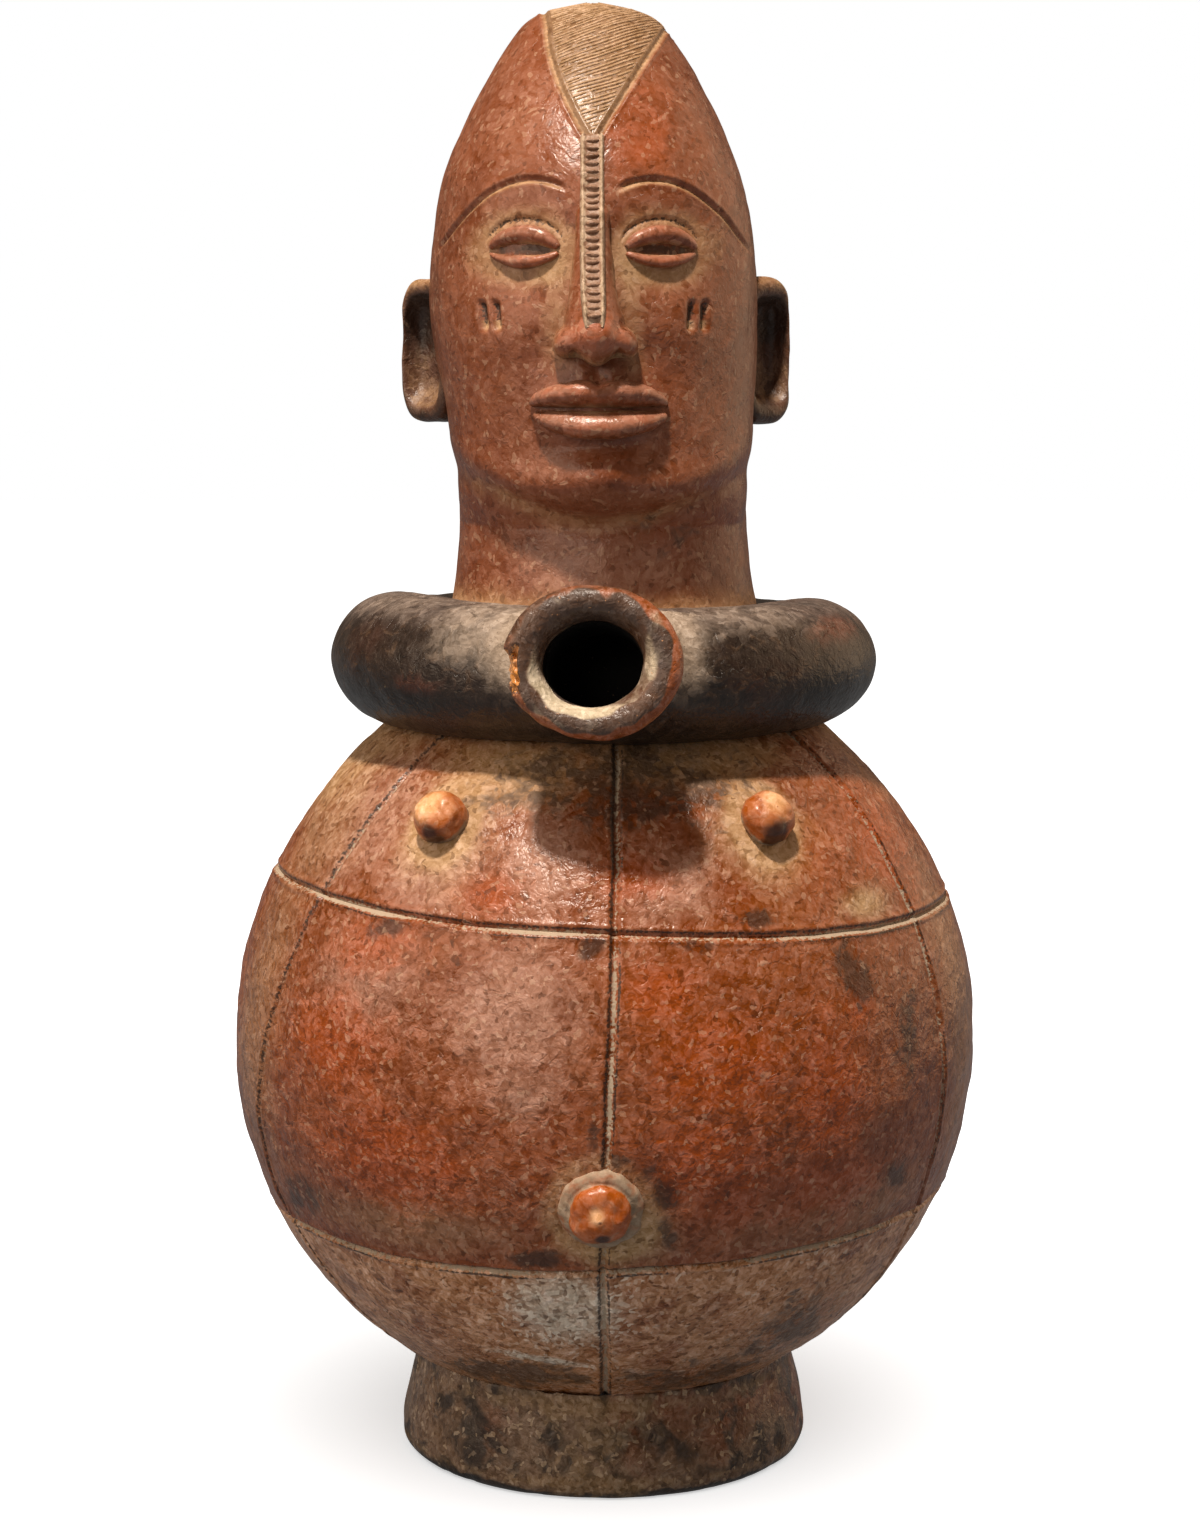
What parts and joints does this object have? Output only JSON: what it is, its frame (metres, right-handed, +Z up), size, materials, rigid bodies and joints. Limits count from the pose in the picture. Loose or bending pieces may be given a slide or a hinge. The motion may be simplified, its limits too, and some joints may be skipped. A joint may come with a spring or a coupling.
{
  "type": "spouted figural vessel",
  "caption": "Hand-built clay jar with a round belly, a hollow ring collar with a pouring spout, and a hollow human head for a top.",
  "frame": {"origin": "centre of the foot's resting face", "axes": "+Z up the jar's axis, -Y the way the figure faces, +X to the right of someone who looks at the face"},
  "size_m": [0.1644, 0.1679, 0.32],
  "materials": {
    "red_clay": "burnished red-brown clay slip, low-fired",
    "brown_clay": "burnished clay, grey-brown from the fire",
    "smoked_clay": "burnished clay, smoked black-brown",
    "olive_clay": "rubbed clay, mottled dark brown",
    "orange_clay": "worn clay, orange and polished by handling",
    "tan_clay": "incised clay with pale dust in the cuts"
  },
  "bodies": {
    "root": {"foot_ring": "olive_clay", "base_bowl": "brown_clay", "belly_wall": "red_clay", "shoulder_dome": "red_clay", "neck_tube": "red_clay", "collar_ring_lower": "smoked_clay", "collar_ring_upper": "smoked_clay", "spout_tube": "smoked_clay", "spout_lip": "brown_clay", "head_shell": "red_clay", "crown_cap": "tan_clay", "nose": "red_clay", "forehead_ridge": "tan_clay", "upper_lip": "brown_clay", "lower_lip": "brown_clay", "eyelid_upper_left": "red_clay", "eyelid_lower_left": "red_clay", "eyelid_upper_right": "red_clay", "eyelid_lower_right": "red_clay", "ear_left": "smoked_clay", "ear_right": "smoked_clay", "breast_knob_left": "orange_clay", "breast_knob_right": "orange_clay", "navel_knob": "orange_clay"}
  },
  "joints": []
}
